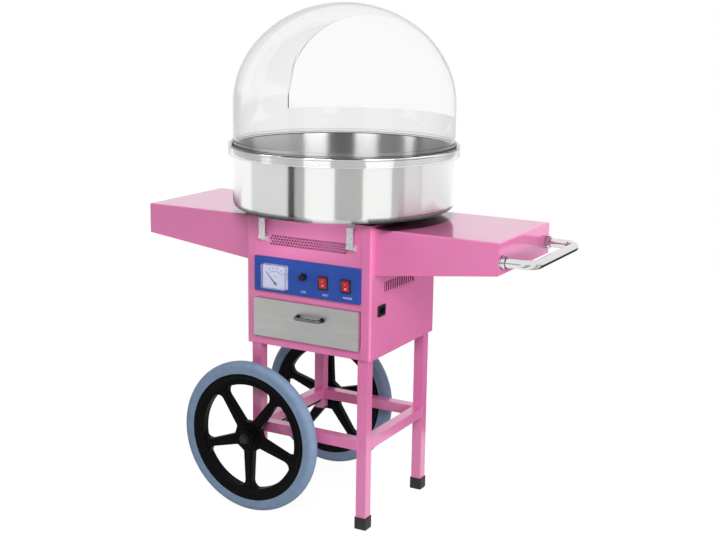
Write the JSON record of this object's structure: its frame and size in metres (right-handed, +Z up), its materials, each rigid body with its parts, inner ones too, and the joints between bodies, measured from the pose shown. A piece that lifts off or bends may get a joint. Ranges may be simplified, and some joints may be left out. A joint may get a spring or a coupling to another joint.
{
  "type": "cotton candy cart",
  "caption": "Cotton candy cart: a square housing on a tube frame with spoked wheels, side trays, a push handle, and a polished bowl with a spinner drive under a clear lift-off dome.",
  "frame": {"origin": "on the ground, under the middle of the cart's outer box", "axes": "+Z up, +X towards the push handle, the controls and the drawer face -Y"},
  "size_m": [0.997, 0.5364, 1.1903],
  "materials": {
    "pink_paint": "gloss powder coat",
    "blue_paint": "satin paint",
    "black_paint": "satin paint",
    "drawer_steel": "brushed along its length",
    "zinc_steel": "zinc plated",
    "black_oxide": "blackened",
    "bowl_steel": "polished",
    "latch_steel": "bright plated",
    "handle_chrome": "mirror",
    "cast_alloy": "satin",
    "heater_steel": "heat darkened",
    "ring_brass": "satin",
    "black_plastic": "moulded",
    "red_plastic": "gloss",
    "white_plastic": "gloss",
    "clear_acrylic": "clear, polished",
    "grey_tyre": "matt",
    "black_rubber": "matt"
  },
  "bodies": {
    "cart": {"leg_front_left": "pink_paint", "leg_rear_left": "pink_paint", "leg_front_right": "pink_paint", "leg_rear_right": "pink_paint", "long_rails": "pink_paint", "cross_rails": "pink_paint", "base_plate": "pink_paint", "side_panel_left": "pink_paint", "side_panel_right": "pink_paint", "front_panel": "pink_paint", "rear_cover": "pink_paint", "top_plate": "pink_paint", "front_vent": "pink_paint", "tray_left": "pink_paint", "tray_right": "pink_paint", "side_vents": "pink_paint", "control_panel": "blue_paint", "tray_bolts": "zinc_steel", "drawer_runners": "zinc_steel", "motor_bracket": "zinc_steel", "axle": "black_oxide", "axle_fittings": "black_oxide", "bowl": "bowl_steel", "bowl_lugs": "bowl_steel", "latch_brackets": "latch_steel", "handle_bar": "handle_chrome", "handle_flanges": "handle_chrome", "motor": "cast_alloy", "fuse_holder": "black_plastic", "switch_frames": "black_plastic", "power_inlet": "black_plastic", "brush_block": "black_plastic", "meter_case": "white_plastic", "meter_dial": "white_plastic", "meter_lens": "clear_acrylic", "foot_caps": "black_rubber", "bowl_gasket": "black_rubber"},
    "front_wheel": {"front_wheel_rim": "black_plastic", "front_tyre": "grey_tyre"},
    "rear_wheel": {"rear_wheel_rim": "black_plastic", "rear_tyre": "grey_tyre"},
    "drawer": {"drawer_box": "zinc_steel", "drawer_front": "drawer_steel", "drawer_pull": "handle_chrome"},
    "heat_switch": {"heat_rocker": "red_plastic"},
    "power_switch": {"power_rocker": "red_plastic"},
    "fuse_cap": {"fuse_cap": "black_plastic"},
    "needle": {"meter_needle": "black_paint"},
    "latch_front_left": {"latch_lever_front_left": "latch_steel"},
    "latch_front_right": {"latch_lever_front_right": "latch_steel"},
    "latch_rear_left": {"latch_lever_rear_left": "latch_steel"},
    "latch_rear_right": {"latch_lever_rear_right": "latch_steel"},
    "dome": {"dome": "clear_acrylic", "dome_rim": "clear_acrylic"},
    "spinner": {"spinner_shaft": "zinc_steel", "slip_rings": "ring_brass", "spinner_head": "cast_alloy", "heater_ring": "heater_steel", "spinner_cap": "cast_alloy"}
  },
  "joints": [
    {"name": "front_wheel_spin", "type": "hinge", "parent": "cart", "child": "front_wheel", "pos_m": [-0.1845, -0.185, 0.183], "axis": [0, 1, 0], "continuous": true},
    {"name": "rear_wheel_spin", "type": "hinge", "parent": "cart", "child": "rear_wheel", "pos_m": [-0.1845, 0.185, 0.183], "axis": [0, 1, 0], "continuous": true},
    {"name": "drawer_slide", "type": "slide", "parent": "cart", "child": "drawer", "axis": [0, -1, 0], "range_m": [0, 0.2]},
    {"name": "heat_switch_tilt", "type": "hinge", "parent": "cart", "child": "heat_switch", "pos_m": [0.00281, -0.1665, 0.57465], "axis": [-1, 0, 0], "range_deg": [0, 20]},
    {"name": "power_switch_tilt", "type": "hinge", "parent": "cart", "child": "power_switch", "pos_m": [0.06175, -0.1665, 0.57465], "axis": [-1, 0, 0], "range_deg": [0, 20]},
    {"name": "fuse_cap_turn", "type": "hinge", "parent": "cart", "child": "fuse_cap", "pos_m": [-0.04806, -0.1675, 0.58265], "axis": [0, -1, 0], "range_deg": [0, 90]},
    {"name": "needle_swing", "type": "hinge", "parent": "cart", "child": "needle", "pos_m": [-0.12326, -0.1675, 0.55926], "axis": [0, 1, 0], "range_deg": [0, 90], "stiffness_Nm_per_rad": 0.0002},
    {"name": "latch_front_left_swing", "type": "hinge", "parent": "cart", "child": "latch_front_left", "pos_m": [-0.1575, -0.1695, 0.662], "axis": [1, 0, 0], "range_deg": [0, 150]},
    {"name": "latch_front_right_swing", "type": "hinge", "parent": "cart", "child": "latch_front_right", "pos_m": [0.0725, -0.1695, 0.662], "axis": [1, 0, 0], "range_deg": [0, 150]},
    {"name": "latch_rear_left_swing", "type": "hinge", "parent": "cart", "child": "latch_rear_left", "pos_m": [-0.1575, 0.1695, 0.662], "axis": [-1, 0, 0], "range_deg": [0, 150]},
    {"name": "latch_rear_right_swing", "type": "hinge", "parent": "cart", "child": "latch_rear_right", "pos_m": [0.0725, 0.1695, 0.662], "axis": [-1, 0, 0], "range_deg": [0, 150]},
    {"name": "dome_lift", "type": "slide", "parent": "cart", "child": "dome", "axis": [0, 0, 1], "range_m": [0, 0.35]},
    {"name": "spinner_spin", "type": "hinge", "parent": "cart", "child": "spinner", "pos_m": [-0.0425, 0, 0.75], "axis": [0, 0, 1], "continuous": true}
  ]
}
